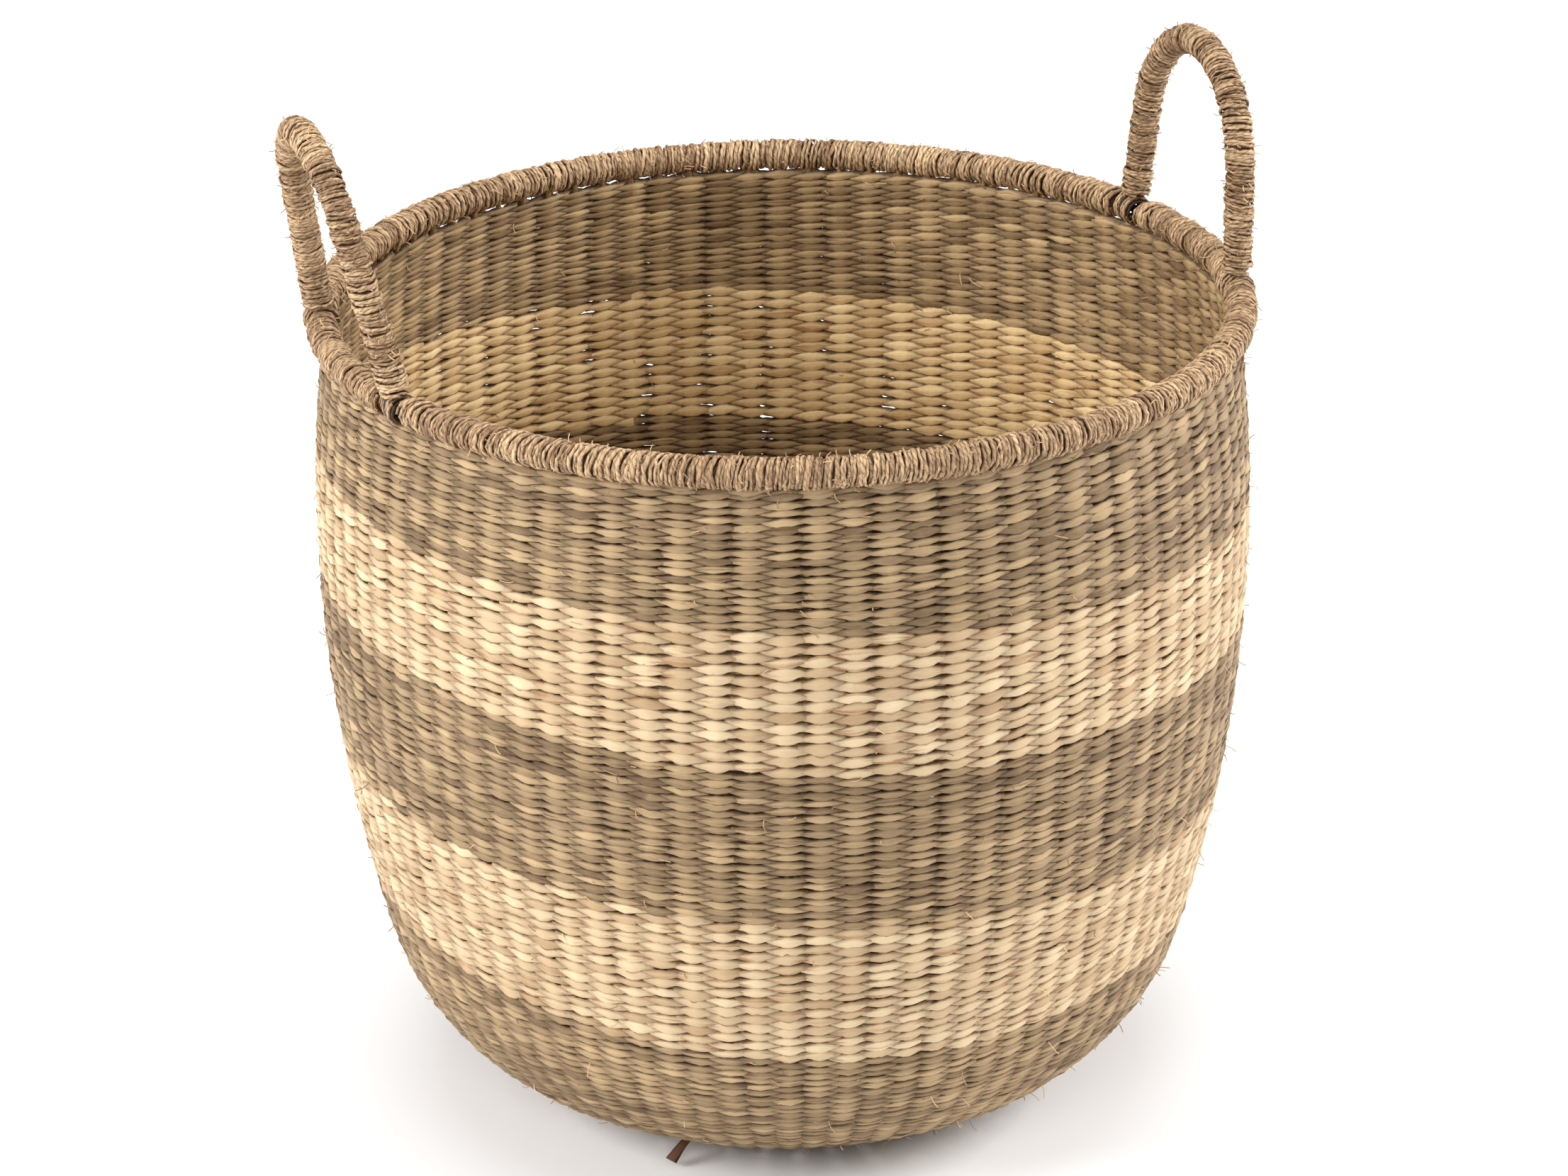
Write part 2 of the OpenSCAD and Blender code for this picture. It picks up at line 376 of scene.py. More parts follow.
leafTree, leaf, leafOut = shaderGroup(
    "Dry leaf",
    {"Dark": "Color", "Light": "Color", "Brown": "Color", "Streak": "Float", "Patch": "Float",
     "Shade": "Float", "Twist": "Float", "Inner": "Float"},
    {"Color": "Color", "Height": "Float", "Roughness": "Float"})


def fillLeafTree(tree, given, out):
    along, across = named(tree, "along"), named(tree, "across")
    tone, lift = named(tree, "tone"), named(tree, "lift")

    def grain(kind, detail, roughness=0.5):
        # noise drawn out along the strand, from another place in it for each tone
        length, width, shift = leafGrain[kind]
        position = combine(tree, along * length, across * width, tone * shift)
        return noise(tree, position, 1.0, detail, roughness)

    streaks = grain("streak", 3.0, 0.65)
    thread = grain("thread", 1.0)
    spot = Field(tree, place(tree, "ShaderNodeTexCoord").outputs["Object"])
    patch = noise(tree, spot, leafGrain["patchScale"], 2.0)
    value = (streaks - 0.5) * given["Streak"] + tone + (patch - 0.5) * given["Patch"]
    base = mixColour(tree, value.between(0.0, 1.0), given["Dark"], given["Light"])
    edge = across.size().between(*leafGrain["edge"])
    brown = grain("browned", 2.0) + edge * 0.16 + lift * 0.10
    brown = brown.between(leafGrain["brownFrom"], leafGrain["brownTo"], 0.0, 0.8, smooth=True)
    base = mixColour(tree, brown, base, given["Brown"])
    # painted bounce light: inside the basket the leaf is brightened and tinted golden, as light thrown back
    # from the other walls would do
    inner = named(tree, "inside") * given["Inner"]
    base = mixColour(tree, inner, base, leafGrain["paintedBounceTint"], blend="MULTIPLY")
    # a twisted strand shows slanting hollows, about ten in one turn round a handle; they are dented by the
    # bump and darkened in the colour as painted shade
    driftLength, driftShift = leafGrain["drift"]
    drift = noise(tree, combine(tree, along * driftLength, tone * driftShift), 1.0, 1.0)
    perMetre, slope, wander = leafGrain["hollow"]
    hollow = ((along * perMetre + across * slope + drift * wander) * turn).sin()
    hollow = hollow.between(0.1, 1.0, smooth=True) * given["Twist"]
    # painted shade: the colour darkens along the strand's edges, near the crossings where a strand dives, and
    # in the hollows of a twist
    shade = (edge * 0.8 + lift * lift * 0.5 + hollow * 0.8).math("MINIMUM", 1.0) * given["Shade"]
    base = mixColour(tree, shade, base, colour(0.20, 0.12, 0.06))
    tree.links.new(base.socket, out.inputs["Color"])
    tree.links.new((thread * 0.6 + streaks * 0.4 - hollow * 1.2).socket, out.inputs["Height"])
    tree.links.new(streaks.between(0.3, 0.7, 0.5, 0.72).socket, out.inputs["Roughness"])


fillLeafTree(leafTree, leaf, leafOut)


def leafMaterial(name, look):
    material = bpy.data.materials.new(name)
    material.use_nodes = True
    tree = material.node_tree
    shader = tree.nodes["Principled BSDF"]
    group = place(tree, "ShaderNodeGroup", node_tree=leafTree)
    for label, value in look.items():
        if label in group.inputs:
            group.inputs[label].default_value = value
    bump = place(tree, "ShaderNodeBump", {"Height": group.outputs["Height"],
                                          "Strength": look["bump"], "Distance": look["depth"]})
    tree.links.new(group.outputs["Color"], shader.inputs["Base Color"])
    tree.links.new(group.outputs["Roughness"], shader.inputs["Roughness"])
    tree.links.new(bump.outputs[0], shader.inputs["Normal"])
    shader.inputs["Specular IOR Level"].default_value = look["gloss"]
    return material


# in each look, Inner is the strength of the painted bounce light inside the basket and Shade the strength of
# the painted shade
looks = {
    "oliveWeft": {
        "Dark": colour(0.42, 0.33, 0.22), "Light": colour(0.74, 0.63, 0.47),
        "Brown": colour(0.33, 0.21, 0.11),
        "Streak": 0.9, "Patch": 0.7, "Shade": 0.75, "Twist": 0.0, "Inner": 0.3,
        "bump": 0.5, "depth": 0.0006, "gloss": 0.35},
    "creamWeft": {
        "Dark": colour(0.67, 0.55, 0.40), "Light": colour(0.86, 0.77, 0.62),
        "Brown": colour(0.58, 0.39, 0.22),
        "Streak": 0.6, "Patch": 0.3, "Shade": 0.6, "Twist": 0.0, "Inner": 1.0,
        "bump": 0.45, "depth": 0.0006, "gloss": 0.45},
    "brownLeaf": {
        "Dark": colour(0.30, 0.19, 0.12), "Light": colour(0.50, 0.35, 0.24),
        "Brown": colour(0.24, 0.14, 0.08),
        "Streak": 0.9, "Patch": 0.4, "Shade": 0.3, "Twist": 0.0, "Inner": 0.0,
        "bump": 0.5, "depth": 0.0006, "gloss": 0.3},
    # a dark leaf for the cords beneath the foot collars: painted shade for the creases where they show
    "under": {
        "Dark": colour(0.16, 0.11, 0.07), "Light": colour(0.34, 0.25, 0.17),
        "Brown": colour(0.14, 0.09, 0.05),
        "Streak": 0.9, "Patch": 0.4, "Shade": 0.3, "Twist": 0.0, "Inner": 0.0,
        "bump": 0.4, "depth": 0.0004, "gloss": 0.2},
    "binding": {
        "Dark": colour(0.51, 0.38, 0.255), "Light": colour(0.88, 0.745, 0.575),
        "Brown": colour(0.43, 0.27, 0.14),
        "Streak": 0.9, "Patch": 0.6, "Shade": 0.6, "Twist": 0.85, "Inner": 0.0,
        "bump": 0.5, "depth": 0.0006, "gloss": 0.35},
}
materials = {name: leafMaterial(name, look) for name, look in looks.items()}


# The weave: pairs of strands twined round the stakes, row above row in one long spiral.

weave = {
    "reach": 0.0029, "baseReach": 0.0019, "leaf": 0.0016, "wander": 0.0012, "jitter": 0.00030,
    "firstStitch": 22, "steps": 6, "tiltAngle": math.radians(110.5),
    "stitchLength": 0.0159, "leafStitches": 31.0, "widthRange": (0.84, 1.18), "tipLean": 0.25,
    # in stitches from its middle: where a leaf has narrowed to a point, and where it passes through
    "lensEnd": 0.69, "crossing": (0.68, 0.84),
    # the bottom band is made in two, the lower with this share of its length; the last row rises a little
    "cornerShare": 0.45, "lastRise": 0.0006,
    # the base's rings: first and last length on the line, seed, stitches in a turn; without a last
    # length a ring ends where the corner starts, without stitches it has as many as the wall
    "baseRings": [("baseOuter", 0.056, None, 7, None), ("baseMiddle", 0.024, 0.056, 8, 44),
                  ("baseInner", 0.006, 0.024, 9, 22)],
    "cornerSteps": 5, "baseSteps": 4,
    "olive": {"pitch": 0.0040, "width": 0.0052, "rise": 0.0010},
    "cream": {"pitch": 0.0053, "width": 0.0069, "rise": 0.0013},
    # how far each edge between bands climbs to one side, and bulges on both
    "tilt": [0.0115, 0.0155, 0.016, 0.015, 0.0], "swell": [0.0175, 0.006, 0.011, 0.0, 0.0],
}

strandTree, given = geometryTree("Twined strand", {
    "Wall line": "Object", "Start": "Float", "End": "Float", "Rows": "Float", "Row pitch": "Float",
    "Stitches": "Int", "First stitch": "Int", "Steps": "Int", "Phase": "Float",
    "Reach": "Float", "Leaf": "Float", "Rise": "Float", "Width": "Float",
    "Tilt low": "Float", "Tilt high": "Float", "Swell low": "Float", "Swell high": "Float",
    "Wander": "Float", "Jitter": "Float", "Seed": "Int", "Material": "Material"})


def fillStrandTree(tree, given):
    stitches, steps = given["Stitches"], given["Steps"]
    count = given["Rows"] * stitches * steps + 1.0
    stitch = index(tree) / steps
    turns = stitch / stitches
    angle = (stitch + given["First stitch"]) / stitches * turn
    seed = given["Seed"]
    around = combine(tree, angle.cos() * 3.0, angle.sin() * 3.0, turns * 0.9 + seed * 7.3)
    slow = noise(tree, around, 1.6, 2.0)
    length = (given["Start"] + given["Row pitch"] * turns).math("MINIMUM", given["End"])
    # The rows aren't level: they climb towards one side.
    span = given["End"] - given["Start"]
    part = (length - given["Start"]) / span
    climb = (angle + weave["tiltAngle"]).sin() * -1.0
    swell = climb * climb
    tiltSpan = given["Tilt high"] - given["Tilt low"]
    swellSpan = given["Swell high"] - given["Swell low"]
    length = length + climb * (given["Tilt low"] + tiltSpan * part)
    length = length + swell * (given["Swell low"] + swellSpan * part)
    spread = (climb * tiltSpan + swell * swellSpan) / span + 1.0
    length = length + (slow - 0.5) * given["Wander"]
    spot, tangent = sampleLine(tree, given["Wall line"], length)
    radius, _, height = separate(spot)
    outX, _, outZ = separate(tangent)  # the wall's outward normal is (outZ, -outX)

    # In front of a stake or behind it, the leaf lies flat. Where the pair crosses it stands on edge,
    # so its tip still shows past the crossing, beside the tip of the other strand.
    phase = given["Phase"]
    front = ((stitch + phase) / 2.0 + 0.5).floor() * 2.0 - phase  # the nearest stitch on the outside
    back = ((stitch + phase + 1.0) / 2.0 + 0.5).floor() * 2.0 - phase - 1.0  # and on the inside
    off, backOff = (stitch - front).size(), (stitch - back).size()

    def stitchFace(number, away):
        # how far the face stands out and how wide the leaf is there
        bulge = randomValue(tree, number, seed + 11.0, -1.0, 1.0) * given["Jitter"]
        face = given["Reach"] + away.between(0.0, 0.5, 0.0002, -0.0001)
        face = face - away.between(0.5, 0.67, 0.0, 0.0008) + bulge
        lens = (-((away / weave["lensEnd"]) ** 1.5) + 1.0).math("MAXIMUM", 0.06)
        return face, lens * given["Width"] * spread * randomValue(tree, number, seed, *weave["widthRange"])

    frontFace, frontWidth = stitchFace(front, off)
    backFace, backWidth = stitchFace(back, backOff)
    goneIn, goneOut = off.between(*weave["crossing"]), backOff.between(*weave["crossing"])
    outside = frontFace + (given["Leaf"] - backFace - frontFace) * goneIn
    inside = (frontFace - given["Leaf"] + backFace) * goneOut - backFace
    width = frontWidth.math("MAXIMUM", backWidth * goneIn)
    widthInside = backWidth.math("MAXIMUM", frontWidth * goneOut)
    centre, thickness = (outside + inside) * 0.5, outside - inside

    # Some stretches slant up to the right, in others each strand keeps its own level.
    slant = noise(tree, combine(tree, angle.cos() * 2.0, angle.sin() * 2.0, turns * 0.1), 1.5, 1.0)
    share = (slant - 0.5) * 2.0 + angle.cos() * 0.4 + 0.55
    share = share.between(0.0, 1.0) + randomValue(tree, front, seed + 12.0, -0.2, 0.2)
    swing = (stitch + phase) * math.pi
    level = phase * -2.0 + 1.0
    hop = randomValue(tree, front, seed + 13.0, -1.0, 1.0) * given["Jitter"]
    hop = hop * off.between(0.2, 0.6, 1.4, 0.0)
    lift = (swing.sin() * share + level * (-share + 1.0) * 0.9) * given["Rise"] + hop
    r = radius + outZ * centre + outX * lift
    z = height - outX * centre + outZ * lift
    spot = combine(tree, r * angle.cos(), r * angle.sin(), z)
    tip = randomValue(tree, front, seed + 14.0, -weave["tipLean"], weave["tipLean"])
    tip = tip * off.between(0.1, 0.5, 1.0, 0.0)
    tipOut = outZ + outX * tip
    facing = combine(tree, tipOut * angle.cos(), tipOut * angle.sin(), outZ * tip - outX)
    curve = pathPoints(tree, count)
    curve = place(tree, "GeometryNodeSetPosition", {"Geometry": curve, "Position": spot}).outputs[0]
    curve = remember(tree, curve, "along", stitch * weave["stitchLength"])
    leafNumber = (stitch / weave["leafStitches"]
                  + randomValue(tree, turns.floor(), seed + 5.0, 0.0, 9.0)).floor()
    leafTone = randomValue(tree, leafNumber, seed + 4.0, 0.0, 1.0) * 0.5
    # how near the crossing the leaf is; the shader browns the leaf there and darkens it as painted shade
    curve = remember(tree, curve, "lift", -(off - 0.5).size() * 2.0 + 1.0)
    mesh = ribbon(tree, curve, facing, width, thickness,
                  randomValue(tree, front, seed + 3.0, 0.0, 0.5) + leafTone,
                  backTone=randomValue(tree, back, seed + 3.0, 0.0, 0.5) + leafTone,
                  backWidth=widthInside, core=thickness.between(0.002, 0.005, 1.0, 2.0), crown=1.25)
    finishTree(tree, mesh, given["Material"])


fillStrandTree(strandTree, given)


def weaveBand(name, low, high, kind, node, seed, stitches=None, finish=0, tilt=(0.0, 0.0),
              swell=(0.0, 0.0), steps=None, reach=weave["reach"]):
    # one band from low to high on the wall's line, with finish more turns along its upper edge
    look = weave[kind]
    rows = max(1, round((high - low) / look["pitch"]))
    stitches = stitches or wall["stakes"]
    for strand in (0, 1):
        piece = grow(f"{name}Strand{strand + 1}", strandTree, {
            "Wall line": wallLine, "Start": low, "End": high, "Rows": float(rows + finish),
            "Row pitch": (high - low) / rows,
            "Stitches": stitches, "First stitch": weave["firstStitch"] * stitches // wall["stakes"],
            "Steps": steps or weave["steps"], "Phase": float(strand), "Reach": reach, "Leaf": weave["leaf"],
            "Tilt low": tilt[0], "Tilt high": tilt[1], "Swell low": swell[0], "Swell high": swell[1],
            "Rise": look["rise"], "Width": look["width"],
            "Wander": weave["wander"], "Jitter": weave["jitter"],
            "Seed": seed * 2 + strand, "Material": materials[kind + "Weft"]})
        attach(piece, "basket")
        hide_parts(node)


edges = [lengthAt(h) for h in wall["bands"]]
baseEnd = baseRadius - lineStart
share = weave["cornerShare"]
lowest = edges[0] * share + baseEnd * (1.0 - share)
tilts, swells = weave["tilt"], weave["swell"]
weaveBand("cornerWeft", baseEnd, lowest, "olive", "weft_olive_bottom", 1, tilt=(0.0, tilts[0] * share),
          swell=(0.0, swells[0] * share), steps=weave["cornerSteps"], reach=weave["baseReach"])
weaveBand("lowWeft", lowest, edges[0], "olive", "weft_olive_bottom", 2, tilt=(tilts[0] * share, tilts[0]),
          swell=(swells[0] * share, swells[0]), steps=weave["cornerSteps"])
for seed, (name, kind, node, finish) in enumerate([
        ("lowerCream", "cream", "weft_cream_lower", 0), ("middleOlive", "olive", "weft_olive_middle", 0),
        ("upperCream", "cream", "weft_cream_upper", 0), ("topOlive", "olive", "weft_olive_top", 1)]):
    weaveBand(name, edges[seed], edges[seed + 1] + weave["lastRise"] * finish, kind, node, seed + 3,
              finish=finish, tilt=tilts[seed:seed + 2], swell=swells[seed:seed + 2])
for name, low, high, seed, stitches in weave["baseRings"]:
    weaveBand(name, low, high or baseEnd, "olive", "base_weft", seed, stitches=stitches,
              steps=weave["baseSteps"], reach=weave["baseReach"])
print("weave done")


# The bindings: fine leaf cord wound round the rim and the handles.

coilTree, given = geometryTree("Wound cord", {
    "Line": "Object", "Length": "Float", "Across": "Vector", "Coil radius": "Float", "Pitch": "Float",
    "Points": "Int", "Phase": "Float", "Offset": "Float", "Width": "Float", "Thickness": "Float",
    "Slip": "Float", "Lump": "Float", "Tilt start": "Float", "Tilt end": "Float",
    "Seed": "Int", "Material": "Material"})


def awayFrom(level, across, angle):
    # the direction at that angle round a line
    return level.vector("SCALE", scale=angle.cos()).vector("ADD", across.vector("SCALE", scale=angle.sin()))


def fillCoilTree(tree, given):
    points = given["Points"]
    count = (given["Length"] / given["Pitch"]).floor() * points + 1.0
    turns = index(tree) / points
    angle = (turns + given["Phase"]) * turn
    seed = given["Seed"]
    travel = turns * given["Pitch"]
    number = (turns + given["Phase"] * 0.37).floor()
    spot, tangent = sampleLine(tree, given["Line"], travel)
    across = given["Across"]
    level = tangent.vector("CROSS_PRODUCT", across).vector("NORMALIZE")
    around = combine(tree, angle.cos() * 1.2, angle.sin() * 1.2, travel * 230.0 + seed * 5.1)
    slip = (noise(tree, around, 1.5, 2.0) - 0.5) * given["Slip"]
    # some turns lean one way and some the other, so that neighbours cross
    lean = noise(tree, combine(tree, travel * 95.0, seed * 3.7), 1.0, 1.0) - 0.5
    way = noise(tree, combine(tree, travel * 40.0, seed * 9.1), 1.0, 0.0) * turn * 2.0
    slip = slip + (angle + way).cos() * lean * given["Slip"] * 1.6
    lump = (noise(tree, around, 1.9, 2.0) - 0.5) * given["Lump"]
    lump = lump + randomValue(tree, number, seed + 2.0, -0.5, 0.4) * given["Lump"]
    reach = given["Coil radius"] + lump
    part = travel / given["Length"]
    tilt = given["Tilt start"] + (given["Tilt end"] - given["Tilt start"]) * part
    forward = slip + given["Offset"] - tilt * angle.cos() * reach
    outward = awayFrom(level, across, angle)
    spot = spot.vector("ADD", outward.vector("SCALE", scale=reach))
    spot = spot.vector("ADD", tangent.vector("SCALE", scale=forward))
    curve = pathPoints(tree, count)
    curve = place(tree, "GeometryNodeSetPosition", {"Geometry": curve, "Position": spot}).outputs[0]
    curve, outward = capture(tree, curve, outward, "FLOAT_VECTOR")
    curve = remember(tree, curve, "along", turns * binding["turnLength"])
    leafNumber = (turns / binding["leafTurns"] + randomValue(tree, number, seed + 5.0, 0.0, 0.6)).floor()
    tone = (randomValue(tree, number, seed + 3.0, 0.0, 1.0) * 0.5
            + randomValue(tree, leafNumber, seed + 4.0, 0.0, 1.0) * 0.5)
    # turns that sit lower get painted shade in the shader
    curve = remember(tree, curve, "lift", lump.between(-0.0004, 0.0002, 0.8, 0.0))
    width = given["Width"] * randomValue(tree, number, seed + 6.0, *binding["widthRange"])
    mesh = ribbon(tree, curve, outward, width, given["Thickness"], tone)
    finishTree(tree, mesh, given["Material"])


binding = {
    # two cords side by side over one beneath: where each lies, how much deeper, its points in a turn
    "rim": {"pitch": 0.0042, "spread": [-0.00100, 0.00100, 0.0], "drop": [0.0, 0.0, 0.0006],
            "points": [14, 14, 9], "width": 0.0020, "thickness": 0.0017},
    "handle": {"pitch": 0.0034, "spread": [-0.00082, 0.00082, 0.0], "drop": [0.0, 0.0, 0.0006],
               "points": [13, 13, 9], "width": 0.0017, "thickness": 0.0015},
    "phase": [0.0, 0.1, 0.55], "slip": 0.0036, "lump": 0.0014,
    "shortLine": 0.05, "shortSlip": 0.0005,  # on a line shorter than this the turns slip less
    "rimRadius": 0.0069, "handleRadius": 0.0066, "collarRadius": 0.0072, "innerRadius": 0.0056,
    "turnLength": 0.045, "leafTurns": 5.0, "widthRange": (0.75, 1.3),
}

fillCoilTree(coilTree, given)


def lineLength(points):
    return sum((Vector(b) - Vector(a)).length for a, b in zip(points, points[1:]))


def wind(name, points, across, radius, node, body, seed, tilt=(0.0, 0.0), look="binding"):
    line = drawLine(name + "Line", points)
    cord = binding["rim" if body == "basket" else "handle"]
    length = lineLength(points)
    slip = binding["slip"] if length > binding["shortLine"] else binding["shortSlip"]
    turns = max(1, round(length / cord["pitch"]))
    for strand, (offset, drop) in enumerate(zip(cord["spread"], cord["drop"])):
        piece = grow(f"{name}Cord{strand + 1}", coilTree, {
            "Line": line, "Length": length, "Across": across, "Coil radius": radius - drop,
            "Pitch": length / (turns + 0.02), "Points": cord["points"][strand],
            "Phase": binding["phase"][strand], "Offset": offset,
            "Width": cord["width"], "Thickness": cord["thickness"], "Slip": slip, "Lump": binding["lump"],
            "Tilt start": tilt[0], "Tilt end": tilt[1],
            "Seed": seed * 10 + strand, "Material": materials[look]})
        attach(piece, body)
        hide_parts(node)


rim = {"footStakes": 4, "collarHalf": 0.0080, "gap": 0.0010, "crease": 0.0014, "collarInset": 0.0012}
footAngle = rim["footStakes"] * turn / wall["stakes"]
footY = wall["rimRadius"] * math.sin(footAngle)
hingeX = wall["rimRadius"] * math.cos(footAngle)
slotHalf = rim["collarHalf"] + rim["gap"]
outerEdge = math.asin((footY + slotHalf) / wall["rimRadius"])  # where the long stretches start
innerEdge = math.asin((footY - slotHalf) / wall["rimRadius"])  # where the short ones do
footTilt = math.tan(footAngle)


def rimPoints(a0, a1):
    steps = 160
    angles = [a0 + (a1 - a0) * i / steps for i in range(steps + 1)]
    radius, height = wall["rimRadius"], wall["rimHeight"]
    return [(radius * math.cos(a), radius * math.sin(a), height) for a in angles]


upright = (0.0, 0.0, 1.0)
stretches = {
    # the rim's stretches: first and last angle, and how the turns lean at the first
    "right": (-innerEdge, innerEdge, -footTilt),
    "back": (outerEdge, turn / 2 - outerEdge, footTilt),
    "left": (turn / 2 - innerEdge, turn / 2 + innerEdge, -footTilt),
    "front": (turn / 2 + outerEdge, turn - outerEdge, footTilt),
}
for seed, (name, (a0, a1, lean)) in enumerate(stretches.items()):
    wind("rim" + name.capitalize(), rimPoints(a0, a1), upright, binding["rimRadius"],
         "rim_binding_" + name, "basket", 1 + seed, tilt=(lean, -lean))

handles = {
    "right": {"side": 1, "height": 0.104, "slope": 7.0, "lean": 4.0},
    "left": {"side": -1, "height": 0.117, "slope": 15.0, "lean": 11.5},
}
legStart = 0.0086  # how far up the legs the cords of a handle start, clear of the rim


def handlePoints(shape, start):
    # up one leg, over the bend and down the other, in the handle's own plane
    slope = math.radians(shape["slope"])
    bend = (footY - shape["height"] * math.tan(slope)) / (1 / math.cos(slope) - math.tan(slope))
    bendHeight = shape["height"] - bend
    leg = (bendHeight + bend * math.sin(slope)) / math.cos(slope)
    flat = [(footY - math.sin(slope) * t, math.cos(slope) * t)
            for t in (start + (leg - start) * i / 20 for i in range(20))]
    sweep = math.pi / 2 - slope
    flat += [(bend * math.cos(a), bendHeight + bend * math.sin(a))
             for a in (slope + sweep * i / 30 for i in range(31))]
    flat += [(-y, z) for y, z in reversed(flat[:-1])]
    lean = math.radians(shape["lean"])
    side = shape["side"]
    return [(side * (hingeX + z * math.sin(lean)), side * y, wall["rimHeight"] + z * math.cos(lean))
            for y, z in flat]


def handleAcross(shape):
    # square to the handle's own plane
    lean = math.radians(shape["lean"])
    return shape["side"] * math.cos(lean), 0.0, -math.sin(lean)


for seed, (name, shape) in enumerate(handles.items()):
    side, across = shape["side"], handleAcross(shape)
    body, node = "handle_" + name, "handle_binding_" + name
    level = math.tan(math.radians(shape["slope"]))  # the turns next to the feet lie level
    wind(name + "Handle", handlePoints(shape, legStart), across, binding["handleRadius"], node, body,
         5 + seed, tilt=(level, -level))
    for foot, end in (("Front", -1), ("Back", 1)):
        # each foot has a crease beside it, on the side that faces the basket's front, where the cord beneath
        # shows, coloured dark as painted shade
        near = footY - rim["collarHalf"] + rim["collarInset"]
        far = footY + rim["collarHalf"] - rim["collarInset"]
        inner, outer = (near, far - rim["crease"]) if end < 0 else (near + rim["crease"], far)
        for part, radius, look, low, high in (("", binding["collarRadius"], "binding", inner, outer),
                                              ("Inner", binding["innerRadius"], "under", near, far)):
            points = [(side * hingeX, end * (low + (high - low) * i / 20), wall["rimHeight"])
                      for i in range(21)]
            wind(name + "Foot" + foot + part, points, upright, radius, node, body, 7 + seed * 2 + end,
                 look=look)

# The base starts from a small wound knot.
knot = {"radius": 0.0031, "cord": 0.0021}
knotAngles = [i * turn / 40 for i in range(41)]
knotPoints = [(knot["radius"] * math.cos(a), knot["radius"] * math.sin(a), middle) for a in knotAngles]
wind("baseKnot", knotPoints, upright, knot["cord"], "base_start", "basket", 20)
print("bindings done")


# Stray fibres: short bent ends that stand off the cords and the wall.
fibres = {
    "rim": {"count": 900, "short": 0.0020, "long": 0.0055},
    "handle": {"count": 240, "short": 0.0020, "long": 0.0050},
    "wall": {"count": 1100, "short": 0.0025, "long": 0.0080},
    "thickness": 0.00050, "lowest": 0.014, "footClear": 0.006,
    "bend": {"Start": (0.0, 0.0, -0.1), "Middle": (0.05, 0.0, 0.5), "End": (0.4, 0.0, 0.85)},
    "outward": 0.7, "along": 1.0, "aside": 1.4,  # how a fibre heads, against each other
}


def fibreTree(onWall):
    # on the wall, the line is turned round the basket's axis; elsewhere it is the cord's own
    tree, given = geometryTree("Stray fibres " + ("on the wall" if onWall else "on a cord"), {
        "Line": "Object", "Start": "Float", "End": "Float", "Across": "Vector",
        "Reach": "Float", "Count": "Int",
        "Short": "Float", "Long": "Float", "Thickness": "Float", "Seed": "Int", "Material": "Material"})
    number, seed = index(tree), given["Seed"]

    def draw(step, low, high):
        return randomValue(tree, number, seed + float(step), low, high)

    angle = draw(1, 0.0, turn)
    length = given["Start"] + (given["End"] - given["Start"]) * draw(2, 0.0, 1.0)
    spot, tangent = sampleLine(tree, given["Line"], length)
    if onWall:
        radius, _, height = separate(spot)
        outX, _, outZ = separate(tangent)
        side = draw(3, -0.6, 1.0).sign()
        spot = combine(tree, radius * angle.cos(), radius * angle.sin(), height)
        outward = combine(tree, outZ * angle.cos(), outZ * angle.sin(), -outX)
        outward = outward.vector("SCALE", scale=side)
        aside = combine(tree, -angle.sin(), angle.cos())
    else:
        across = given["Across"]
        level = tangent.vector("CROSS_PRODUCT", across).vector("NORMALIZE")
        outward = awayFrom(level, across, angle)
        aside = tangent.vector("CROSS_PRODUCT", outward)
    spot = spot.vector("ADD", outward.vector("SCALE", scale=given["Reach"]))
    along = tangent.vector("SCALE", scale=draw(4, -fibres["along"], fibres["along"]))
    aside = aside.vector("SCALE", scale=draw(5, -fibres["aside"], fibres["aside"]))
    heading = outward.vector("SCALE", scale=fibres["outward"]).vector("ADD", along).vector("ADD", aside)
    points = place(tree, "GeometryNodePoints", {"Count": given["Count"], "Position": spot}).outputs[0]
    bent = place(tree, "GeometryNodeCurveQuadraticBezier", {"Resolution": 4, **fibres["bend"]}).outputs[0]
    aimed = place(tree, "FunctionNodeAlignRotationToVector", {"Vector": heading}, axis="Z").outputs[0]
    bent = place(tree, "GeometryNodeInstanceOnPoints", {
        "Points": points, "Instance": bent, "Rotation": Field(tree, aimed),
        "Scale": draw(6, 0.0, 1.0) ** 2.0 * (given["Long"] - given["Short"]) + given["Short"]}).outputs[0]
    bent = place(tree, "GeometryNodeRealizeInstances", {"Geometry": bent}).outputs[0]
    fibre = (index(tree) / 5.0).floor()  # each has five points
    bent = remember(tree, bent, "tone", randomValue(tree, fibre, seed + 7.0, 0.2, 1.2))
    profile = place(tree, "GeometryNodeCurvePrimitiveCircle",
                    {"Resolution": 3, "Radius": given["Thickness"] * 0.5}).outputs[0]
    mesh = place(tree, "GeometryNodeCurveToMesh",
                 {"Curve": bent, "Profile Curve": profile, "Fill Caps": True}).outputs[0]
    finishTree(tree, mesh, given["Material"])
    return tree


wallFibreTree, cordFibreTree = fibreTree(True), fibreTree(False)


def addFibres(name, tree, kind, line, start, end, across, reach, body, node, seed, count=1.0):
    look = fibres[kind]
    piece = grow(name + "Fibres", tree, {
        "Line": line, "Start": start, "End": end, "Across": across, "Reach": reach,
        "Count": round(look["count"] * count), "Short": look["short"], "Long": look["long"],
        "Thickness": fibres["thickness"], "Seed": seed, "Material": materials["binding"]})
    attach(piece, body)
    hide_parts(node)


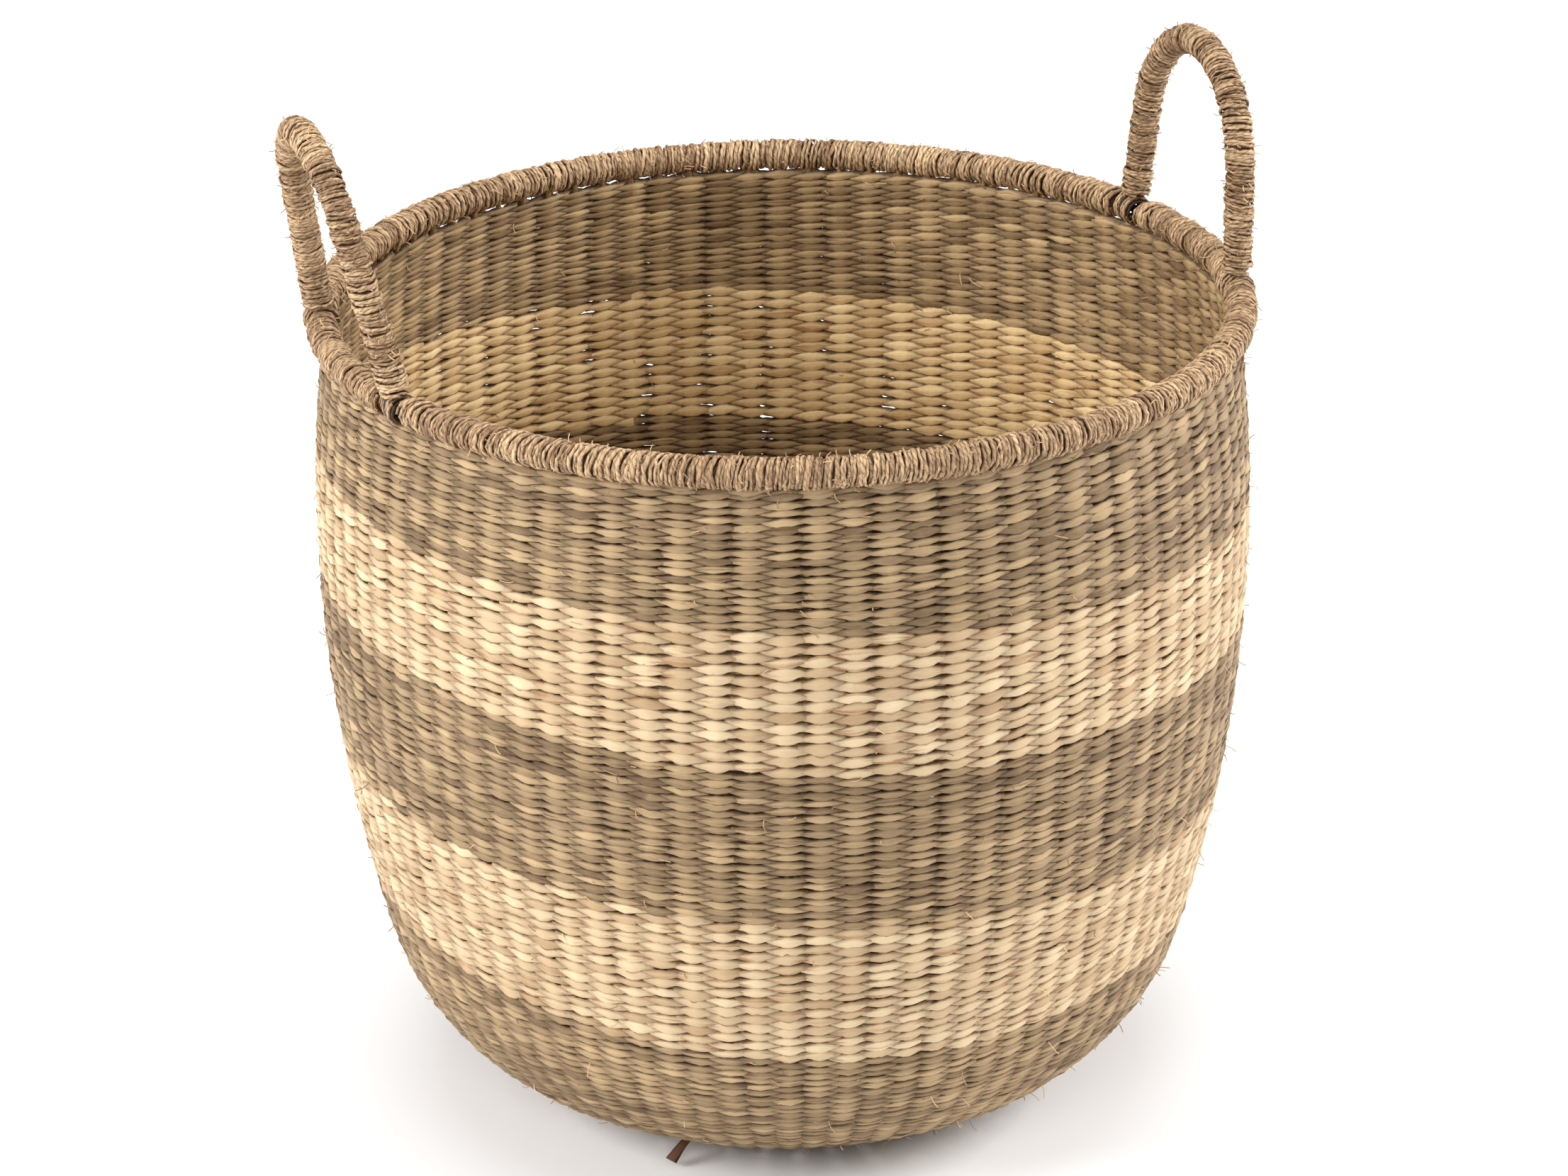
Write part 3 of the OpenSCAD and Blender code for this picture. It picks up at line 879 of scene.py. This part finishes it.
addFibres("wall", wallFibreTree, "wall", wallLine, lengthAt(fibres["lowest"]), edges[-1], upright,
          weave["reach"], "basket", "weft_olive_top", 60)
for seed, (name, (a0, a1, _)) in enumerate(stretches.items()):
    line = bpy.data.objects["rim" + name.capitalize() + "Line"]
    addFibres("rim" + name.capitalize(), cordFibreTree, "rim", line, 0.0,
              (a1 - a0) * wall["rimRadius"], upright,
              binding["rimRadius"], "basket", "rim_binding_" + name, 61 + seed, count=(a1 - a0) / turn)
for seed, (name, shape) in enumerate(handles.items()):
    line = bpy.data.objects[name + "HandleLine"]
    length = lineLength([point.co[:3] for point in line.data.splines[0].points])
    addFibres(name + "Handle", cordFibreTree, "handle", line, fibres["footClear"],
              length - fibres["footClear"],
              handleAcross(shape), binding["handleRadius"], "handle_" + name,
              "handle_binding_" + name, 70 + seed)
print("fibres done")


def plainMaterial(name, dark, light, stretch, gloss=0.2, metal=0.0):
    # for the CAD pieces that show in gaps: streaks in the object's own coordinates
    material = bpy.data.materials.new(name)
    material.use_nodes = True
    tree = material.node_tree
    shader = tree.nodes["Principled BSDF"]
    spot = Field(tree, place(tree, "ShaderNodeTexCoord").outputs["Object"])
    streaks = noise(tree, spot.vector("MULTIPLY", stretch), 1.0, 3.0, 0.6)
    base = mixColour(tree, streaks.between(0.3, 0.7), dark, light)
    bump = place(tree, "ShaderNodeBump", {"Height": streaks, "Strength": 0.4, "Distance": 0.0004})
    tree.links.new(base.socket, shader.inputs["Base Color"])
    tree.links.new(streaks.between(0.3, 0.7, 0.5, 0.8).socket, shader.inputs["Roughness"])
    tree.links.new(bump.outputs[0], shader.inputs["Normal"])
    shader.inputs["Specular IOR Level"].default_value = gloss
    shader.inputs["Metallic"].default_value = metal
    return material


# One brown leaf end sticks out from under the wall.
looseEnd = {
    "angle": math.radians(-131.8), "start": (0.122, 0.0125), "end": (0.1405, 0.0034),  # radius and height
    "width": (0.0040, 0.0068), "thickness": 0.0009, "points": 12, "slant": 0.05,
    "steps": 12, "arch": 0.002, "facing": (0.4, 0.9), "tone": 0.4,
}
looseTree, given = geometryTree("Loose leaf end", {
    "Line": "Object", "Length": "Float", "Points": "Int", "Narrow": "Float", "Wide": "Float",
    "Thickness": "Float", "Tone": "Float", "Facing": "Vector", "Material": "Material"})


def fillLooseTree(tree, given):
    part = index(tree) / (given["Points"] - 1.0)
    spot = sampleLine(tree, given["Line"], given["Length"] * part)[0]
    curve = place(tree, "GeometryNodeSetPosition",
                  {"Geometry": pathPoints(tree, given["Points"]), "Position": spot}).outputs[0]
    curve = remember(tree, curve, "along", part * 0.02)
    width = given["Narrow"] + (given["Wide"] - given["Narrow"]) * part * part
    mesh = ribbon(tree, curve, given["Facing"], width, given["Thickness"], given["Tone"])
    finishTree(tree, mesh, given["Material"])


fillLooseTree(looseTree, given)


def addLooseEnd(shape):
    points = []
    (startRadius, startHeight), (endRadius, endHeight) = shape["start"], shape["end"]
    for i in range(shape["steps"] + 1):
        t = i / shape["steps"]
        radius = startRadius + (endRadius - startRadius) * t
        height = startHeight + (endHeight - startHeight) * t + shape["arch"] * math.sin(t * math.pi)
        angle = shape["angle"] - shape["slant"] * t
        points.append((radius * math.cos(angle), radius * math.sin(angle), height))
    line = drawLine("looseLine", points)
    level, up = shape["facing"]
    facing = (math.cos(shape["angle"]) * level, math.sin(shape["angle"]) * level, up)
    piece = grow("looseEnd", looseTree, {
        "Line": line, "Length": lineLength(points), "Tone": shape["tone"],
        "Points": shape["points"], "Narrow": shape["width"][0], "Wide": shape["width"][1],
        "Thickness": shape["thickness"], "Facing": facing, "Material": materials["brownLeaf"]})
    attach(piece, "basket")
    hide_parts("weft_olive_bottom")


addLooseEnd(looseEnd)

stakeLook = plainMaterial("stake", colour(0.34, 0.24, 0.14), colour(0.66, 0.52, 0.36), (900.0, 900.0, 60.0))
paddingLook = plainMaterial("padding", colour(0.20, 0.13, 0.08), colour(0.40, 0.29, 0.19),
                            (500.0, 500.0, 500.0))
wireLook = plainMaterial("wire", colour(0.16, 0.12, 0.09), colour(0.30, 0.25, 0.21),
                         (700.0, 700.0, 700.0), 0.4, 0.5)
for node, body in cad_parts.items():
    look = (stakeLook if "stakes" in node else paddingLook if "padding" in node or node == "base_start"
            else wireLook if "wire" in node or "hoop" in node else None)
    if look:
        body.data.materials.clear()
        body.data.materials.append(look)


# The stage: camera, lights and floor.

camera = {"focal": 146.5, "distance": 3.116, "azimuth": -20.5, "elevation": 22.8, "aim": 0.250, "roll": 0.58}


def addCamera(values):
    data = bpy.data.cameras.new("camera")
    data.lens, data.sensor_width = values["focal"], 36.0
    data.clip_end = 50.0
    made = bpy.data.objects.new("camera", data)
    scene.collection.objects.link(made)
    azimuth, elevation = math.radians(values["azimuth"]), math.radians(values["elevation"])
    level = math.cos(elevation)
    look = Vector((-math.sin(azimuth) * level, math.cos(azimuth) * level, -math.sin(elevation)))
    made.location = Vector((0.0, 0.0, values["aim"])) - look * values["distance"]
    roll = Quaternion((0, 0, 1), math.radians(-values["roll"]))
    made.rotation_euler = (look.to_track_quat("-Z", "Y") @ roll).to_euler()
    scene.camera = made


addCamera(camera)

lights = {
    "world": 0.35,
    "areas": [
        # name, place, size, power
        ("left", (-2.9, 0.1, 1.6), 1.8, 101.0),
        ("right", (2.8, -0.9, 1.8), 1.8, 118.0),
        ("above", (0.0, 0.2, 3.2), 2.4, 54.0),
        ("front", (-1.6, -2.6, 2.0), 1.8, 30.0),
    ],
    "aim": (0.0, 0.0, 0.22),
}


def addLights(values):
    world = bpy.data.worlds.new("studio")
    scene.world = world
    world.use_nodes = True
    world.node_tree.nodes["Background"].inputs["Color"].default_value = (1.0, 1.0, 1.0, 1.0)
    world.node_tree.nodes["Background"].inputs["Strength"].default_value = values["world"]
    for name, spot, size, power in values["areas"]:
        data = bpy.data.lights.new(name, "AREA")
        data.shape, data.size, data.energy = "DISK", size, power
        lamp = bpy.data.objects.new(name, data)
        scene.collection.objects.link(lamp)
        lamp.location = spot
        lamp.rotation_euler = (Vector(values["aim"]) - Vector(spot)).to_track_quat("-Z", "Y").to_euler()


addLights(lights)


floorLook = {"reach": 12.0, "colour": (0.91, 0.915, 0.93, 1.0), "roughness": 0.9, "gloss": 0.1}


def addFloor(values):
    mesh = bpy.data.meshes.new("floor")
    reach = values["reach"]
    corners = [(-reach, -reach, 0), (reach, -reach, 0), (reach, reach, 0), (-reach, reach, 0)]
    mesh.from_pydata(corners, [], [(0, 1, 2, 3)])
    floor = bpy.data.objects.new("floor", mesh)
    scene.collection.objects.link(floor)
    material = bpy.data.materials.new("paleFloor")
    material.use_nodes = True
    shader = material.node_tree.nodes["Principled BSDF"]
    shader.inputs["Base Color"].default_value = values["colour"]
    shader.inputs["Roughness"].default_value = values["roughness"]
    shader.inputs["Specular IOR Level"].default_value = values["gloss"]
    mesh.materials.append(material)


addFloor(floorLook)
scene.view_settings.view_transform = "Standard"
scene.view_settings.look = "None"
print("stage done")
